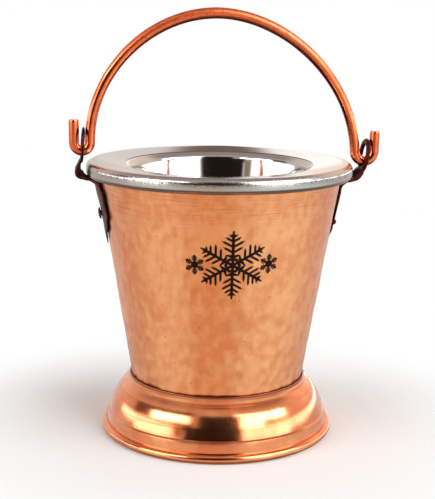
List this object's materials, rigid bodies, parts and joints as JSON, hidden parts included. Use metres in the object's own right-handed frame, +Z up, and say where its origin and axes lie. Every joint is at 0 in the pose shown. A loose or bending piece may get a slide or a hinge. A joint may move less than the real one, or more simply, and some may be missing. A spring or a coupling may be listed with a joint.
{
  "type": "ice bucket",
  "caption": "Footed copper ice bucket with a steel liner, flared lip, riveted side ears and a bail handle that swings.",
  "frame": {"origin": "middle of the whole object's footprint on the plane it stands on; the vessel's own axis of revolution is at X = -4.3 mm, because the right-hand hook reaches further out than the left-hand one", "axes": "+Z up along the vessel's axis, +X towards the right-hand ear, -Y towards the front"},
  "size_m": [0.1796, 0.152, 0.2435],
  "materials": {
    "polished_steel": "mirror-polished stainless steel, scuffed on the rolled bead",
    "hammered_copper": "satin copper, planished with small flat hammer marks and faint lathe lines",
    "polished_copper": "spun and mirror-polished copper",
    "copper_rod": "polished copper rod with fine draw marks and small pits",
    "dark_forging": "hand-forged, dark brown antique patina"
  },
  "bodies": {
    "bucket": {"inner_liner": "polished_steel", "outer_shell": "hammered_copper", "pedestal_foot": "polished_copper", "left_ear": "dark_forging", "right_ear": "dark_forging", "left_rivet": "dark_forging", "right_rivet": "dark_forging"},
    "bail": {"bail_handle": "copper_rod"}
  },
  "joints": [
    {"name": "bail_swing", "type": "hinge", "parent": "bucket", "child": "bail", "pos_m": [-0.00072, 0, 0.1603], "axis": [0.9991, 0, -0.0428], "range_deg": [-88, 88]}
  ]
}
